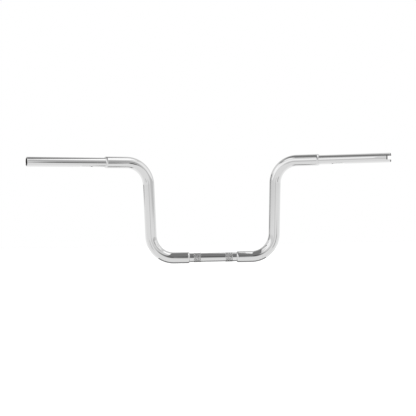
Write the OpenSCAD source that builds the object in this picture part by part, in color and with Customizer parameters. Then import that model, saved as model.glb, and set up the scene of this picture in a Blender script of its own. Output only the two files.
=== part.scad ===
// Ape hanger handlebar for a large motorcycle, bent from one chromed steel tube.
// A 1.25 in main tube is stepped down to 1 in where the risers clamp it and where
// the hand controls sit. The bar is hollow from end to end, so that the wiring of the
// switches runs inside it.
// X runs to the rider's right, Y runs forward and Z runs up. The origin is on the
// axis of the clamp section, midway between the two risers.

/* [Main tube] */
// Outer diameter of the bent main tube
main_d = 31.75; // [28:0.05:36]
// Wall of the main tube
main_wall = 3; // [2:0.1:4]
// Centreline radius of all four bends
bend_r = 63.5; // [50:0.5:75]

/* [Layout] */
// Distance between the two uprights, measured at the height of the clamp section
base_w = 342; // [320:1:420]
// Height of the hand controls' plane above the clamp section
rise = 267; // [200:1:400]
// Angle by which each upright leans outwards
upright_lean = 1.75; // [0:0.25:6]
// Angle by which the hand controls sweep back to the rider
sweep = 25; // [10:1:35]
// Angle by which the hand controls fall towards their ends
droop = 0; // [-3:0.5:8]
// Length from each top corner of the centreline to the shoulder of the control tube
top_run = 125; // [110:1:160]

/* [Clamp section] */
// Outer diameter of the clamp section
clamp_d = 25.4; // [22:0.1:25.8]
// Wall of the clamp section
clamp_wall = 3; // [2:0.1:4]
// Length of the clamp section between its two shoulders
clamp_len = 132; // [120:1:150]
// Distance between the middles of the two knurled bands
riser_spacing = 88.9; // [80:0.1:96]
// Length of each knurled band
knurl_len = 20; // [12:0.5:22]
// Height of the knurl's crests above the clamp section
knurl_raise = 0.2; // [0.05:0.05:0.4]

/* [Hand controls] */
// Outer diameter of both control tubes
control_d = 25.4; // [22:0.1:25.8]
// Wall of both control tubes
control_wall = 2.4; // [1.6:0.1:3]
// Length of the clutch-side control tube, from its shoulder to its end
left_control = 209.5; // [180:0.5:260]
// Length of the throttle-side control tube, from its shoulder to its end
right_control = 190.5; // [160:0.5:240]
// Chamfer on both edges of each open end
end_chamfer = 0.7; // [0.2:0.1:0.7]

/* [Shoulders] */
// Radius of the rounded edge of each shoulder
shoulder_r = 2.8; // [0.5:0.1:3]
// Length of the taper inside each shoulder
throat_len = 14; // [8:1:24]

/* [Wiring openings] */
// Length of the wiring slot under each control tube
slot_len = 38; // [24:1:48]
// Width of the wiring slot under each control tube
slot_w = 14.3; // [8:0.1:16]
// Distance from a control tube's shoulder to the middle of its wiring slot
slot_pos = 52; // [40:1:80]
// Diameter of the hole where the harness leaves the clamp section
exit_d = 15.9; // [8:0.1:18]
// Angle of that hole from straight down, turned forward
exit_angle = 45; // [0:5:90]

/* [Throttle end] */
// Width of the two notches that key the throttle sensor
notch_w = 10.5; // [6:0.1:14]
// Depth of the two notches along the tube
notch_len = 9.5; // [5:0.1:16]

/* [Hidden] */

// Facets of a turned surface
$fn = 96;

main_r = main_d / 2;
clamp_r = clamp_d / 2;
control_r = control_d / 2;
main_bore_r = main_r - main_wall;
clamp_bore_r = clamp_r - clamp_wall;
control_bore_r = control_r - control_wall;

// How far a cut runs past the face that it opens
past = 1;
// How far each stretch of the tube runs on inside the next one
lap = 0.5;
// How much thinner a bend's radius is drawn than the straight tube's
bend_draw = 0.02;

// Directions in the right half of the bar: along the upright, square to it in the
// bar's own plane, and along the control tube
up_dir = [sin(upright_lean), 0, cos(upright_lean)];
side_dir = [cos(upright_lean), 0, -sin(upright_lean)];
grip_dir = [cos(droop) * cos(sweep), -cos(droop) * sin(sweep), -sin(droop)];

// Angle through which each bend turns the tube
lower_bend = 90 - upright_lean;
upper_bend = acos(up_dir * grip_dir);
// Turn about the upright from the plane of the lower bend to that of the upper bend
bend_twist = atan2(-grip_dir[1], -(side_dir * grip_dir));

// Straight runs between the tangent points of the bends
base_run = (base_w - clamp_len) / 2 - bend_r * tan(lower_bend / 2);
upright_run = rise / cos(upright_lean) - bend_r * (tan(lower_bend / 2) + tan(upper_bend / 2));
outer_run = top_run - bend_r * tan(upper_bend / 2);

// Shoulder where the right control tube starts
corner = [base_w / 2 + rise * tan(upright_lean), 0, rise];
shoulder = corner + top_run * grip_dir;

// One bend of a round bar, which leaves the origin along +Z and turns towards +X
module bend(r, angle) {
    lap_angle = lap / bend_r * 180 / PI;
    rotate([90, 0, 0])
        rotate([0, 180, 0])
            translate([-bend_r, 0, 0])
                rotate([0, 0, -lap_angle])
                    rotate_extrude(angle = angle + 2 * lap_angle)
                        translate([bend_r, 0])
                            circle(r = r - bend_draw);
}

module past_bend(angle) {
    translate([bend_r, 0, 0])
        rotate([0, angle, 0])
            translate([-bend_r, 0, 0])
                children();
}

module past_run(length) {
    translate([0, 0, length])
        children();
}

// Carries the five stretches of the right half's main tube to their places: base run,
// lower bend, upright, upper bend and outer run, each modelled from its origin along +Z
module right_half() {
    rotate([0, 90, 0])
        rotate([0, 0, 180])
            past_run(clamp_len / 2) {
                children(0);
                past_run(base_run) {
                    children(1);
                    past_bend(lower_bend)
                        rotate([0, 0, bend_twist]) {
                            children(2);
                            past_run(upright_run) {
                                children(3);
                                past_bend(upper_bend)
                                    children(4);
                            }
                        }
                }
            }
}

// A place on the right control tube: +Z runs out along it and +X points up
module at_control(distance) {
    translate(shoulder + distance * grip_dir)
        rotate([0, 90 + droop, -sweep])
            rotate([0, 0, 180])
                children();
}

// Main tube whose end at the origin is closed in to a rounded shoulder
module shouldered_run(length) {
    rotate_extrude() {
        square([main_r - shoulder_r, length]);
        translate([0, shoulder_r])
            square([main_r, length - shoulder_r]);
        translate([main_r - shoulder_r, shoulder_r])
            circle(r = shoulder_r);
    }
}

// Control tube with a chamfered end
module control_rod(length) {
    past_run(-lap)
        cylinder(r = control_r, h = length + lap - end_chamfer);
    past_run(length - end_chamfer)
        cylinder(r1 = control_r, r2 = control_r - end_chamfer, h = end_chamfer);
}

module half_outside(control_len) {
    right_half() {
        shouldered_run(base_run);
        bend(main_r, lower_bend);
        cylinder(r = main_r, h = upright_run);
        bend(main_r, upper_bend);
        past_run(outer_run)
            mirror([0, 0, 1])
                shouldered_run(outer_run);
    }
    at_control(0)
        control_rod(control_len);
}

// Bore of the main tube, which tapers at the origin to the bore of the smaller tube
module throated_bore(small_r, length) {
    slope = (main_bore_r - small_r) / throat_len;
    past_run(-past)
        cylinder(r1 = small_r - slope * past, r2 = main_bore_r, h = throat_len + past);
    past_run(throat_len)
        cylinder(r = main_bore_r, h = length - throat_len);
}

// Bore of a control tube, opened by a chamfer at its mouth
module control_bore(length) {
    past_run(-lap)
        cylinder(r = control_bore_r, h = length + lap + past);
    past_run(length - end_chamfer)
        cylinder(r1 = control_bore_r, r2 = control_bore_r + end_chamfer + past, h = end_chamfer + past);
}

module half_bore(control_len) {
    right_half() {
        throated_bore(clamp_bore_r, base_run);
        bend(main_bore_r, lower_bend);
        cylinder(r = main_bore_r, h = upright_run);
        bend(main_bore_r, upper_bend);
        past_run(outer_run)
            mirror([0, 0, 1])
                throated_bore(control_bore_r, outer_run);
    }
    at_control(0)
        control_bore(control_len);
}

// Clamp section with the two raised bands that the riser clamps bite on
module clamp_section() {
    rotate([0, 90, 0])
        rotate_extrude() {
            translate([0, -clamp_len / 2 - lap])
                square([clamp_r, clamp_len + 2 * lap]);
            for (side = [-1, 1])
                translate([0, (side * riser_spacing - knurl_len) / 2])
                    square([clamp_r + knurl_raise, knurl_len]);
        }
}

module clamp_bore() {
    rotate([0, 90, 0])
        cylinder(r = clamp_bore_r, h = clamp_len + 2 * lap, center = true);
}

// Slot with round ends through the underside of a control tube
module wiring_slot() {
    half_pitch = (slot_len - slot_w) / 2;
    at_control(slot_pos)
        rotate([0, -90, 0])
            linear_extrude(control_r + past) {
                square([2 * half_pitch, slot_w], center = true);
                for (end = [-1, 1])
                    translate([end * half_pitch, 0])
                        circle(d = slot_w);
            }
}

// Pair of notches, front and back, across the end of the throttle side
module throttle_notches() {
    reach = control_r + past;
    at_control(right_control - notch_len)
        translate([-notch_w / 2, -reach, 0])
            cube([notch_w, 2 * reach, notch_len + past]);
}

// Hole in the lower front of the clamp section, where the wiring comes out
module exit_hole() {
    rotate([180 + exit_angle, 0, 0])
        cylinder(d = exit_d, h = clamp_r + past);
}

module handlebar() {
    color("silver")
        difference() {
            union() {
                clamp_section();
                half_outside(right_control);
                mirror([1, 0, 0])
                    half_outside(left_control);
            }
            union() {
                clamp_bore();
                half_bore(right_control);
                mirror([1, 0, 0])
                    half_bore(left_control);
            }
            wiring_slot();
            mirror([1, 0, 0])
                wiring_slot();
            throttle_notches();
            exit_hole();
        }
}

handlebar();
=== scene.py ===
import math

import bpy
from mathutils import Matrix, Vector


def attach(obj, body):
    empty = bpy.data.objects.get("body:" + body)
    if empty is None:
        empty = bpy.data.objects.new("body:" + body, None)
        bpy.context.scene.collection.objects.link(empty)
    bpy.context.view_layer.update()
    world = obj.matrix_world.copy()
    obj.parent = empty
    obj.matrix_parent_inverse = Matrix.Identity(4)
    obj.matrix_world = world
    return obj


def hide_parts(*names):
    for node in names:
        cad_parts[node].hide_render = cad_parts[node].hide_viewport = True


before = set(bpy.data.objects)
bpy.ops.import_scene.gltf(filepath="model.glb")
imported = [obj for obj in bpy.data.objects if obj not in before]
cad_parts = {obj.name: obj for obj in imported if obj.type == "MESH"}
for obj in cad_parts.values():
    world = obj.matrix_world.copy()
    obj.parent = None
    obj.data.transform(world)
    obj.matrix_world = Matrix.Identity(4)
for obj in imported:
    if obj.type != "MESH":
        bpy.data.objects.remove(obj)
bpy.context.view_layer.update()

# Camera. It stands about 1.9 m behind the rider's side of the bar, level with the
# middle of its height and almost square to it, as for a catalogue picture.
MM = 0.001
camera_yaw = math.radians(2.843)
camera_pitch = math.radians(1.261)
camera_lean = math.radians(-0.825)
camera_distance = 1898.8 * MM
aim_right = -12.35 * MM
aim_up = 138.3 * MM

forward = Vector((
    math.sin(camera_yaw) * math.cos(camera_pitch),
    math.cos(camera_yaw) * math.cos(camera_pitch),
    -math.sin(camera_pitch),
))
level_right = Vector((math.cos(camera_yaw), -math.sin(camera_yaw), 0))
level_up = level_right.cross(forward)
camera_right = level_right * math.cos(camera_lean) + level_up * math.sin(camera_lean)
camera_up = level_up * math.cos(camera_lean) - level_right * math.sin(camera_lean)
camera_place = level_right * aim_right + level_up * aim_up - forward * camera_distance

lens = bpy.data.cameras.new("catalogue_camera")
lens.sensor_fit = "HORIZONTAL"
lens.sensor_width = 36
lens.lens = 58.51
lens.clip_start = 0.05
camera = bpy.data.objects.new("catalogue_camera", lens)
camera.matrix_world = Matrix((
    (camera_right.x, camera_up.x, -forward.x, camera_place.x),
    (camera_right.y, camera_up.y, -forward.y, camera_place.y),
    (camera_right.z, camera_up.z, -forward.z, camera_place.z),
    (0, 0, 0, 1),
))
bpy.context.scene.collection.objects.link(camera)
bpy.context.scene.camera = camera
bpy.context.scene.view_settings.view_transform = "Standard"

# Bent tube. It is one length of steel tube, drawn down to 1 in where the risers and the
# hand controls clamp it, and bent on a mandrel at four places. A ring is drawn along the
# outside from the right end to the left end, and back to the right end inside the bore.
ring_segments = 96
# Gap between a run's end and the close ring that keeps its shading straight
ring_hold = 0.15 * MM
# Rings along each stretch of the outside, and in each bend outside and in the bore
control_rings = 14
outer_rings = 3
upright_rings = 4
base_rings = 2
gap_rings = 3
clamp_rings = 8
bend_rings = 36
bore_run_rings = 4
bore_upright_rings = 2
bore_bend_rings = 18
# Steps round a shoulder's fillet and round its large oval
fillet_steps = 4
shoulder_steps = 10
# Points that are closer than this are one point
touching = 0.001 * MM
main_r = 15.875 * MM
slim_r = 12.7 * MM
main_bore_r = 12.875 * MM
clamp_bore_r = 9.7 * MM
control_bore_r = 10.3 * MM
bend_r = 63.5 * MM
base_w = 342 * MM
rise = 267 * MM
upright_lean = math.radians(1.75)
sweep = math.radians(25)
# Length from a top corner of the centreline to the control tube's shoulder
top_run = 125 * MM
clamp_len = 132 * MM
left_control = 209.5 * MM
right_control = 190.5 * MM
# The shoulder's large round is a quarter of an oval, drawn longer than it is high
shoulder_rise = 2.8 * MM
shoulder_run = 5 * MM
fillet_r = main_r - shoulder_rise - slim_r
end_chamfer = 0.7 * MM
throat_len = 14 * MM
knurl_middle = 44.45 * MM
knurl_len = 20 * MM
knurl_rows = 24
knurl_crest = 12.9 * MM
knurl_run_out = 0.3 * MM

right = 1
left = -1
lower_bend = math.pi / 2 - upright_lean
upper_bend = math.acos(math.sin(upright_lean) * math.cos(sweep))
base_run = (base_w - clamp_len) / 2 - bend_r * math.tan(lower_bend / 2)
bend_setbacks = bend_r * (math.tan(lower_bend / 2) + math.tan(upper_bend / 2))
upright_run = rise / math.cos(upright_lean) - bend_setbacks
outer_run = top_run - bend_r * math.tan(upper_bend / 2)


def outward(side):
    """The direction out along the clamp section."""
    return Vector((side, 0, 0))


def up_leg(side):
    """The direction up an upright."""
    return Vector((side * math.sin(upright_lean), 0, math.cos(upright_lean)))


def along_grip(side):
    """The direction out along a control tube."""
    return Vector((side * math.cos(sweep), -math.sin(sweep), 0))


def on_control(side, distance):
    """A place on the axis of a control tube, measured from its shoulder."""
    corner = Vector((side * (base_w / 2 + rise * math.tan(upright_lean)), 0, rise))
    return corner + (top_run + distance) * along_grip(side)


def select_only(piece):
    """Leaves edit mode and selects one piece alone."""
    if bpy.context.mode != "OBJECT":
        bpy.ops.object.mode_set(mode="OBJECT")
    bpy.ops.object.select_all(action="DESELECT")
    piece.select_set(True)
    bpy.context.view_layer.objects.active = piece


def edit(piece, element):
    """Opens a piece in edit mode with nothing of it selected."""
    select_only(piece)
    bpy.ops.object.mode_set(mode="EDIT")
    bpy.ops.mesh.select_mode(type=element)
    bpy.ops.mesh.select_all(action="DESELECT")


class DrawnRing:
    """A ring that is drawn along the tube's line and leaves the tube's skin behind it."""

    def __init__(self, name, radius, place, heading):
        bpy.ops.object.select_all(action="DESELECT")
        bpy.ops.mesh.primitive_circle_add(vertices=ring_segments, radius=radius, location=place)
        self.piece = bpy.context.object
        self.piece.name = name
        self.piece.rotation_euler = heading.to_track_quat("Z", "Y").to_euler()
        bpy.ops.object.transform_apply(location=True, rotation=True, scale=True)
        self.radius = radius
        self.place = place
        self.heading = heading
        bpy.ops.object.mode_set(mode="EDIT")
        bpy.ops.mesh.select_mode(type="EDGE")
        bpy.ops.mesh.select_all(action="SELECT")

    def to(self, length, radius):
        """Draws the ring straight on and gives it a radius."""
        step = self.heading * length
        bpy.ops.mesh.extrude_edges_move(TRANSFORM_OT_translate={"value": step})
        self.place = self.place + step
        scale = radius / self.radius
        bpy.ops.transform.resize(value=(scale, scale, scale), center_override=self.place)
        self.radius = radius

    def run(self, length, rings):
        """Draws the ring straight on at its radius, with a close ring at either end."""
        self.to(ring_hold, self.radius)
        for ring in range(rings):
            self.to((length - 2 * ring_hold) / rings, self.radius)
        self.to(ring_hold, self.radius)

    def follow(self, profile):
        """Draws the ring along a list of distances and radii."""
        before = 0
        for distance, radius in profile:
            self.to(distance - before, radius)
            before = distance

    def bend(self, angle, towards, steps):
        """Swings the ring round a bend, from its heading towards another direction."""
        inward = (towards - towards.dot(self.heading) * self.heading).normalized()
        centre = self.place + inward * bend_r
        axis = self.heading.cross(inward)
        bpy.ops.mesh.spin(steps=steps, angle=angle, center=centre, axis=-axis)
        turn = Matrix.Rotation(angle, 3, axis)
        self.place = centre + turn @ (self.place - centre)
        self.heading = turn @ self.heading

    def turn_back(self):
        """Turns the ring round, to come back through the bore."""
        self.heading = -self.heading


def quarter(steps):
    """The angles of a quarter turn, in equal steps."""
    return [math.pi / 2 * step / steps for step in range(1, steps + 1)]


# A shoulder rises from the slim tube by a small fillet and a large quarter round.
shoulder_len = fillet_r + shoulder_run
rising_shoulder = [
    (fillet_r * math.sin(turn), slim_r + fillet_r * (1 - math.cos(turn)))
    for turn in quarter(fillet_steps)
] + [
    (fillet_r + shoulder_run * (1 - math.cos(turn)),
     slim_r + fillet_r + shoulder_rise * math.sin(turn))
    for turn in quarter(shoulder_steps)
]
falling_shoulder = [
    (shoulder_len - distance, radius) for distance, radius in reversed(rising_shoulder[:-1])
] + [(shoulder_len, slim_r)]
knurl_band = [(0, slim_r), (knurl_run_out, knurl_crest)]
knurl_band += [
    (knurl_run_out + (knurl_len - 2 * knurl_run_out) * row / knurl_rows, knurl_crest)
    for row in range(1, knurl_rows + 1)
]
knurl_band += [(knurl_len, slim_r)]

tube = DrawnRing(
    "handlebar_tube", slim_r - end_chamfer, on_control(right, right_control), -along_grip(right))
tube.to(end_chamfer, slim_r)
tube.run(right_control - end_chamfer - fillet_r, control_rings)
tube.follow(rising_shoulder)
tube.run(outer_run - shoulder_run, outer_rings)
tube.bend(upper_bend, -up_leg(right), bend_rings)
tube.run(upright_run, upright_rings)
tube.bend(lower_bend, -outward(right), bend_rings)
tube.run(base_run - shoulder_run, base_rings)
tube.follow(falling_shoulder)
gap_to_knurl = clamp_len / 2 - fillet_r - knurl_middle - knurl_len / 2
tube.run(gap_to_knurl, gap_rings)
tube.follow(knurl_band)
tube.run(2 * knurl_middle - knurl_len, clamp_rings)
tube.follow(knurl_band)
tube.run(gap_to_knurl, gap_rings)
tube.follow(rising_shoulder)
tube.run(base_run - shoulder_run, base_rings)
tube.bend(lower_bend, up_leg(left), bend_rings)
tube.run(upright_run, upright_rings)
tube.bend(upper_bend, along_grip(left), bend_rings)
tube.run(outer_run - shoulder_run, outer_rings)
tube.follow(falling_shoulder)
tube.run(left_control - end_chamfer - fillet_r, control_rings)
tube.to(end_chamfer, slim_r - end_chamfer)

# The faces so far are the chromed outside; the rest are the bare bore.
bpy.ops.object.mode_set(mode="OBJECT")
outside_faces = len(tube.piece.data.polygons)
bpy.ops.object.mode_set(mode="EDIT")
tube.turn_back()
tube.to(0, control_bore_r + end_chamfer)
tube.to(end_chamfer, control_bore_r)
tube.run(left_control - end_chamfer, bore_run_rings)
tube.to(throat_len, main_bore_r)
tube.run(outer_run - throat_len, outer_rings)
tube.bend(upper_bend, -up_leg(left), bore_bend_rings)
tube.run(upright_run, bore_upright_rings)
tube.bend(lower_bend, outward(right), bore_bend_rings)
tube.run(base_run - throat_len, base_rings)
tube.to(throat_len, clamp_bore_r)
tube.run(clamp_len, bore_run_rings)
tube.to(throat_len, main_bore_r)
tube.run(base_run - throat_len, base_rings)
tube.bend(lower_bend, up_leg(right), bore_bend_rings)
tube.run(upright_run, bore_upright_rings)
tube.bend(upper_bend, along_grip(right), bore_bend_rings)
tube.run(outer_run - throat_len, outer_rings)
tube.to(throat_len, control_bore_r)
tube.run(right_control - end_chamfer, bore_run_rings)
tube.to(end_chamfer, control_bore_r + end_chamfer)
tube.to(0, slim_r - end_chamfer)

bpy.ops.mesh.select_all(action="SELECT")
bpy.ops.mesh.remove_doubles(threshold=touching)
bpy.ops.mesh.normals_make_consistent(inside=False)
bar = tube.piece

# Knurled bands. They are rolled into the clamp section, so that the risers bite. Every
# second crossing of the mesh is pressed down to the root, which leaves diamond pyramids.
# They are shallower than the real ones, because deeper ones darken the bands too much.
knurl_root = 12.82 * MM
# A point this near to the crests' radius belongs to the knurl
crest_margin = 0.01 * MM
edit(bar, "VERT")
bpy.ops.object.mode_set(mode="OBJECT")
row_pitch = (knurl_len - 2 * knurl_run_out) / knurl_rows
first_angle = None
for vertex in bar.data.vertices:
    x, y, z = vertex.co
    past_start = abs(x) - (knurl_middle - knurl_len / 2 + knurl_run_out)
    if abs(math.hypot(y, z) - knurl_crest) < crest_margin and abs(x) < clamp_len / 2:
        row = round(past_start / row_pitch)
        angle = math.atan2(y, z)
        if first_angle is None:
            first_angle = angle
        column = round((angle - first_angle) / (2 * math.pi / ring_segments))
        vertex.select = (row + column) % 2 == 1
bpy.ops.object.mode_set(mode="EDIT")
bpy.ops.mesh.vert_connect()
press = knurl_root / knurl_crest
bpy.ops.transform.resize(value=(1, press, press), center_override=(0, 0, 0))
bpy.ops.object.mode_set(mode="OBJECT")


# Decorative chrome plate over polished steel. It gives a crisp, neutral mirror, with the
# faint waves that the polishing wheel leaves, about 22 mm apart, and a thin haze in
# patches of about 17 mm.
haze_patch = 16.67 * MM
wave_patch = 22.22 * MM
wave_height = 0.02 * MM


def srgb(code):
    """Turns an sRGB hex colour to the linear colour that a shader takes."""
    channels = [int(code[start:start + 2], 16) / 255 for start in (0, 2, 4)]
    linear = [c / 12.92 if c <= 0.04045 else ((c + 0.055) / 1.055) ** 2.4 for c in channels]
    return (*linear, 1)


def add_node(tree, kind, settings=None, links=None):
    """Adds a node with its settings, and links from other nodes' outputs to its inputs."""
    node = tree.nodes.new(kind)
    for key, value in (settings or {}).items():
        if isinstance(key, int) or key in node.inputs:
            node.inputs[key].default_value = value
        else:
            setattr(node, key, value)
    for key, output in (links or {}).items():
        tree.links.new(output, node.inputs[key])
    return node


def new_material(name):
    """An empty material and its tree."""
    material = bpy.data.materials.new(name)
    material.use_nodes = True
    material.node_tree.nodes.clear()
    return material, material.node_tree


chrome, tree = new_material("chrome_plate_polished")
place = add_node(tree, "ShaderNodeTexCoord")
haze = add_node(tree, "ShaderNodeTexNoise", {
    "Scale": 1 / haze_patch, "Detail": 3,
}, {"Vector": place.outputs["Object"]})
rough = add_node(tree, "ShaderNodeMapRange", {
    "From Min": 0.3, "From Max": 0.7, "To Min": 0.02, "To Max": 0.06,
}, {"Value": haze.outputs["Fac"]})
waves = add_node(tree, "ShaderNodeTexNoise", {
    "Scale": 1 / wave_patch, "Detail": 1,
}, {"Vector": place.outputs["Object"]})
ripple = add_node(tree, "ShaderNodeBump", {
    "Strength": 1.0, "Distance": wave_height,
}, {"Height": waves.outputs["Fac"]})
shader = add_node(tree, "ShaderNodeBsdfPrincipled", {
    "Base Color": srgb("D8D8D8"), "Metallic": 1.0,
}, {"Roughness": rough.outputs["Result"], "Normal": ripple.outputs["Normal"]})
add_node(tree, "ShaderNodeOutputMaterial", {}, {"Surface": shader.outputs["BSDF"]})
bar.data.materials.append(chrome)

# Chrome plate over the rolled knurl, which no polishing wheel reaches. It gives a satin
# blur of the same mirror, in a lighter colour than the polished plate: painted light that
# makes up for the shade between the pyramids. The plate's grain is about 0.1 mm in
# reality, and is drawn at about 1 mm because a finer one doesn't show.
grain_size = 1.111 * MM
satin, tree = new_material("knurl_chrome_with_painted_light")
place = add_node(tree, "ShaderNodeTexCoord")
grain = add_node(tree, "ShaderNodeTexNoise", {
    "Scale": 1 / grain_size, "Detail": 2,
}, {"Vector": place.outputs["Object"]})
rough = add_node(tree, "ShaderNodeMapRange", {
    "From Min": 0.3, "From Max": 0.7, "To Min": 0.34, "To Max": 0.44,
}, {"Value": grain.outputs["Fac"]})
# Painted light: this colour is lighter than the polished chrome's, to offset the pyramids' shade
shader = add_node(tree, "ShaderNodeBsdfPrincipled", {
    "Base Color": srgb("EEEEEE"), "Metallic": 1.0,
}, {"Roughness": rough.outputs["Result"]})
add_node(tree, "ShaderNodeOutputMaterial", {}, {"Surface": shader.outputs["BSDF"]})
bar.data.materials.append(satin)

# Bare drawn steel in the bore, which the plating bath hardly enters. It gives a dull dark
# grey, mottled in patches of about 7 mm where the drawing oil has dried.
mottle_patch = 7.143 * MM
bare, tree = new_material("drawn_steel_bore")
place = add_node(tree, "ShaderNodeTexCoord")
mottles = add_node(tree, "ShaderNodeTexNoise", {
    "Scale": 1 / mottle_patch, "Detail": 4,
}, {"Vector": place.outputs["Object"]})
tint = add_node(tree, "ShaderNodeMix", {
    "data_type": "RGBA", "A": srgb("2B2A29"), "B": srgb("474543"),
}, {"Factor": mottles.outputs["Fac"]})
shader = add_node(tree, "ShaderNodeBsdfPrincipled", {
    "Metallic": 1.0, "Roughness": 0.55,
}, {"Base Color": tint.outputs["Result"]})
add_node(tree, "ShaderNodeOutputMaterial", {}, {"Surface": shader.outputs["BSDF"]})
bar.data.materials.append(bare)

# The outside keeps the polished chrome, which is the first slot.
satin_slot = 1
bare_slot = 2
for face in bar.data.polygons:
    if face.index >= outside_faces:
        face.material_index = bare_slot
    elif abs(abs(face.center.x) - knurl_middle) < knurl_len / 2:
        face.material_index = satin_slot

# Openings. The wiring slots under the controls, the pair of notches that key the throttle
# sensor, and the hole where the harness leaves the clamp section are milled through the
# wall into the bore once the tube is bent.
slot_len = 38 * MM
slot_w = 14.3 * MM
slot_pos = 52 * MM
notch_w = 10.5 * MM
notch_len = 9.5 * MM
# How far the notches' cutter runs out past the tube's end
notch_past = 2 * MM
exit_d = 15.9 * MM
exit_angle = math.radians(45)
# How far a cutter reaches from the tube's axis
cutter_reach = 16 * MM
cutter_segments = 64


def cut(cutter):
    """Cuts a closed shape out of the bar and deletes the shape."""
    select_only(bar)
    bpy.ops.object.modifier_add(type="BOOLEAN")
    bar.modifiers[-1].object = cutter
    bar.modifiers[-1].operation = "DIFFERENCE"
    bar.modifiers[-1].solver = "EXACT"
    bpy.ops.object.modifier_apply(modifier=bar.modifiers[-1].name)
    bpy.data.objects.remove(cutter, do_unlink=True)


for side in (left, right):
    middle = on_control(side, slot_pos)
    bpy.ops.object.select_all(action="DESELECT")
    bpy.ops.mesh.primitive_cylinder_add(
        vertices=cutter_segments, radius=slot_w / 2, depth=cutter_reach,
        location=middle - Vector((0, 0, cutter_reach / 2)))
    cutter = bpy.context.object
    bpy.ops.object.transform_apply(location=True, rotation=True, scale=True)
    for end in (-1, 1):
        edit(cutter, "VERT")
        bpy.ops.object.mode_set(mode="OBJECT")
        for vertex in cutter.data.vertices:
            vertex.select = (vertex.co - middle).dot(along_grip(side)) * end > touching
        bpy.ops.object.mode_set(mode="EDIT")
        bpy.ops.transform.translate(value=along_grip(side) * end * (slot_len - slot_w) / 2)
        bpy.ops.object.mode_set(mode="OBJECT")
    cut(cutter)

bpy.ops.object.select_all(action="DESELECT")
notch_middle = on_control(right, right_control - notch_len / 2 + notch_past / 2)
bpy.ops.mesh.primitive_cube_add(
    size=1, location=notch_middle, rotation=(0, 0, -sweep),
    scale=(notch_len + notch_past, 2 * cutter_reach, notch_w))
cutter = bpy.context.object
bpy.ops.object.transform_apply(location=True, rotation=True, scale=True)
cut(cutter)

bpy.ops.object.select_all(action="DESELECT")
exit_axis = Vector((0, math.sin(exit_angle), -math.cos(exit_angle)))
bpy.ops.mesh.primitive_cylinder_add(
    vertices=cutter_segments, radius=exit_d / 2, depth=cutter_reach,
    location=exit_axis * cutter_reach / 2, rotation=exit_axis.to_track_quat("Z", "Y").to_euler())
cutter = bpy.context.object
bpy.ops.object.transform_apply(location=True, rotation=True, scale=True)
cut(cutter)

# Faces that meet at less than this angle are shaded as one smooth surface
crease_angle = math.radians(28)
select_only(bar)
bpy.ops.object.shade_smooth_by_angle(angle=crease_angle)

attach(bar, "root")
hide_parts("handlebar")

# Floor. Pale matt paper, far enough below that the bar throws only a faint soft shadow.
# It glows a little for the camera, so that the plain paper reaches white there.
floor_level = -520 * MM
floor_width = 14
paper_glow = 0.34
bpy.ops.object.select_all(action="DESELECT")
bpy.ops.mesh.primitive_plane_add(size=floor_width, location=(0, 0, floor_level))
floor = bpy.context.object
floor.name = "paper_floor"
paper, tree = new_material("matt_white_paper")
path = add_node(tree, "ShaderNodeLightPath")
seen = add_node(tree, "ShaderNodeMath", {"operation": "MAXIMUM"},
                {0: path.outputs["Is Camera Ray"], 1: path.outputs["Is Glossy Ray"]})
glow = add_node(tree, "ShaderNodeMath", {"operation": "MULTIPLY", 1: paper_glow},
                {0: seen.outputs["Value"]})
shader = add_node(tree, "ShaderNodeBsdfPrincipled", {
    "Base Color": srgb("F4F4F4"), "Roughness": 0.9, "Emission Color": (1, 1, 1, 1),
}, {"Emission Strength": glow.outputs["Value"]})
add_node(tree, "ShaderNodeOutputMaterial", {}, {"Surface": shader.outputs["BSDF"]})
floor.data.materials.append(paper)
floor.visible_glossy = False

# Flags. Two dark cards that are only seen mirrored in the chrome. One hangs over the bar
# and gives the dark band along its top. The other is painted shade: it lies close under the
# clamp section, in place of the bar's shade below it, and gives the dark line along its
# underside.
card_glow = 0.26
card, tree = new_material("dark_card")
shader = add_node(tree, "ShaderNodeEmission", {"Strength": card_glow})
add_node(tree, "ShaderNodeOutputMaterial", {}, {"Surface": shader.outputs["Emission"]})
for name, middle, turned, width, depth in (
    ("overhead_flag", (-0.16, -1.55, 2.2), math.radians(7), 1.22, 5.4),
    # A card of painted shade, which the chrome mirrors along the clamp's underside
    ("under_bar_shade_card", (0, 0.06, -0.12), 0, 0.46, 0.13),
):
    bpy.ops.object.select_all(action="DESELECT")
    bpy.ops.mesh.primitive_plane_add(size=1, location=middle, rotation=(0, 0, turned))
    flag = bpy.context.object
    flag.name = name
    flag.scale = (width, depth, 1)
    flag.data.materials.append(card)
    flag.visible_camera = False
    flag.visible_diffuse = False
    flag.visible_shadow = False

# Softboxes. One hangs over the rider's right side, beside the overhead flag, and a wide
# one stands at the left, between the camera and the bar and a little above it.
for name, middle, target, width, height, watts_per_area in (
    ("overhead_softbox", Vector((0.87, -0.4, 2.2)), Vector((0.87, -0.4, 0)), 1.1, 1.5, 1.75),
    ("left_softbox", Vector((-0.745, -0.74, 0.62)), Vector((0, 0.21, 0.62)), 1.28, 0.56, 1.2),
):
    bpy.ops.object.select_all(action="DESELECT")
    bpy.ops.object.light_add(type="AREA", location=middle)
    softbox = bpy.context.object
    softbox.name = name
    softbox.rotation_euler = (target - middle).to_track_quat("-Z", "Y").to_euler()
    softbox.data.shape = "RECTANGLE"
    softbox.data.size = width
    softbox.data.size_y = height
    softbox.data.energy = watts_per_area * width * height
    softbox.visible_camera = False

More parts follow.
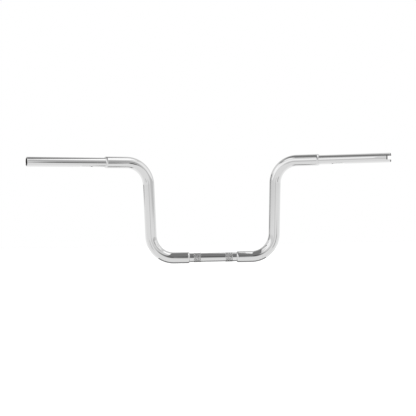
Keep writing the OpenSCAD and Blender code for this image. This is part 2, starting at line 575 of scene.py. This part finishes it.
# Studio. White paper all round, with softboxes and dark gaps in it. The chrome mirrors
# them all; the camera sees only the white paper.
panels = [
    # Middle (azimuth from the camera's side, and elevation), half width and half height,
    # and soft edge, all in degrees, and brightness
    ((180, -45), (75, 30), 25, 1.13),
    ((-140, 60), (45, 16), 12, 0.60),
    ((150, 60), (35, 12), 12, 0.80),
    ((5, 32), (6, 20), 6, 0.25),
    ((5, 9), (4, 5), 2, 0.25),
    ((3, -2), (1.5, 7), 3, 0.50),
    ((3, 22), (1.5, 14), 3, 0.11),
    ((-36, -17), (5, 6), 3, 0.68),
    ((43, -14), (2, 8), 4, 0.12),
    ((46, 9.5), (5, 5), 4, 0.38),
    ((44, 28), (3, 6), 6, 0.58),
    ((-66, 47), (12, 9), 6, 1.25),
    ((-86, 28), (12, 8), 7, 1.22),
    ((88, 26), (22, 14), 8, 1.15),
    ((72, 5), (22, 4), 2, 0.72),
    ((-90, 41), (12, 1.5), 3, 0.25),
    ((-117, 8), (8, 9), 2, 0.08),
]
world = bpy.data.worlds.new("studio")
bpy.context.scene.world = world
world.use_nodes = True
tree = world.node_tree
tree.nodes.clear()
looking = add_node(tree, "ShaderNodeTexCoord")
axes = add_node(tree, "ShaderNodeSeparateXYZ", {}, {"Vector": looking.outputs["Generated"]})
towards_camera = add_node(tree, "ShaderNodeMath", {"operation": "MULTIPLY", 1: -1},
                          {0: axes.outputs["Y"]})
azimuth = add_node(tree, "ShaderNodeMath", {"operation": "ARCTAN2"},
                   {0: axes.outputs["X"], 1: towards_camera.outputs["Value"]})
elevation = add_node(tree, "ShaderNodeMath", {"operation": "ARCSINE"}, {0: axes.outputs["Z"]})
angles = add_node(tree, "ShaderNodeCombineXYZ", {},
                  {"X": azimuth.outputs["Value"], "Y": elevation.outputs["Value"]})
direction = add_node(tree, "ShaderNodeVectorMath", {
    "operation": "SCALE", "Scale": 180 / math.pi,
}, {0: angles.outputs["Vector"]})
# How bright the plain paper is below and above the horizon, and half the blend between
paper_below = 1.0
paper_above = 0.88
horizon_blend = math.radians(2)
lit = add_node(tree, "ShaderNodeMapRange", {
    "From Min": -horizon_blend, "From Max": horizon_blend,
    "To Min": paper_below, "To Max": paper_above,
}, {"Value": elevation.outputs["Value"]})
for middle, half, soft, brightness in panels:
    away = add_node(tree, "ShaderNodeVectorMath", {"operation": "SUBTRACT", 1: (*middle, 0)},
                    {0: direction.outputs["Vector"]})
    wrapped = add_node(tree, "ShaderNodeVectorMath", {
        "operation": "WRAP", 1: (180, 180, 1), 2: (-180, -180, -1),
    }, {0: away.outputs["Vector"]})
    apart = add_node(tree, "ShaderNodeVectorMath", {"operation": "ABSOLUTE"},
                     {0: wrapped.outputs["Vector"]})
    beyond = add_node(tree, "ShaderNodeVectorMath", {"operation": "SUBTRACT", 1: (*half, 0)},
                      {0: apart.outputs["Vector"]})
    outside = add_node(tree, "ShaderNodeVectorMath", {"operation": "MAXIMUM", 1: (0, 0, 0)},
                       {0: beyond.outputs["Vector"]})
    distance = add_node(tree, "ShaderNodeVectorMath", {"operation": "LENGTH"},
                        {0: outside.outputs["Vector"]})
    share = add_node(tree, "ShaderNodeMapRange", {
        "interpolation_type": "SMOOTHSTEP",
        "From Min": 0, "From Max": soft, "To Min": 1, "To Max": 0,
    }, {"Value": distance.outputs["Value"]})
    lit = add_node(tree, "ShaderNodeMix", {"data_type": "FLOAT", "B": brightness},
                   {"Factor": share.outputs["Result"], "A": lit.outputs["Result"]})
path = add_node(tree, "ShaderNodeLightPath")
straight = add_node(tree, "ShaderNodeMath", {"operation": "MAXIMUM"},
                    {0: path.outputs["Is Camera Ray"], 1: path.outputs["Is Transmission Ray"]})
strength = add_node(tree, "ShaderNodeMix", {"data_type": "FLOAT", "B": 1.0},
                    {"Factor": straight.outputs["Value"], "A": lit.outputs["Result"]})
sky = add_node(tree, "ShaderNodeBackground", {"Color": (1, 1, 1, 1)},
               {"Strength": strength.outputs["Result"]})
add_node(tree, "ShaderNodeOutputWorld", {}, {"Surface": sky.outputs["Background"]})
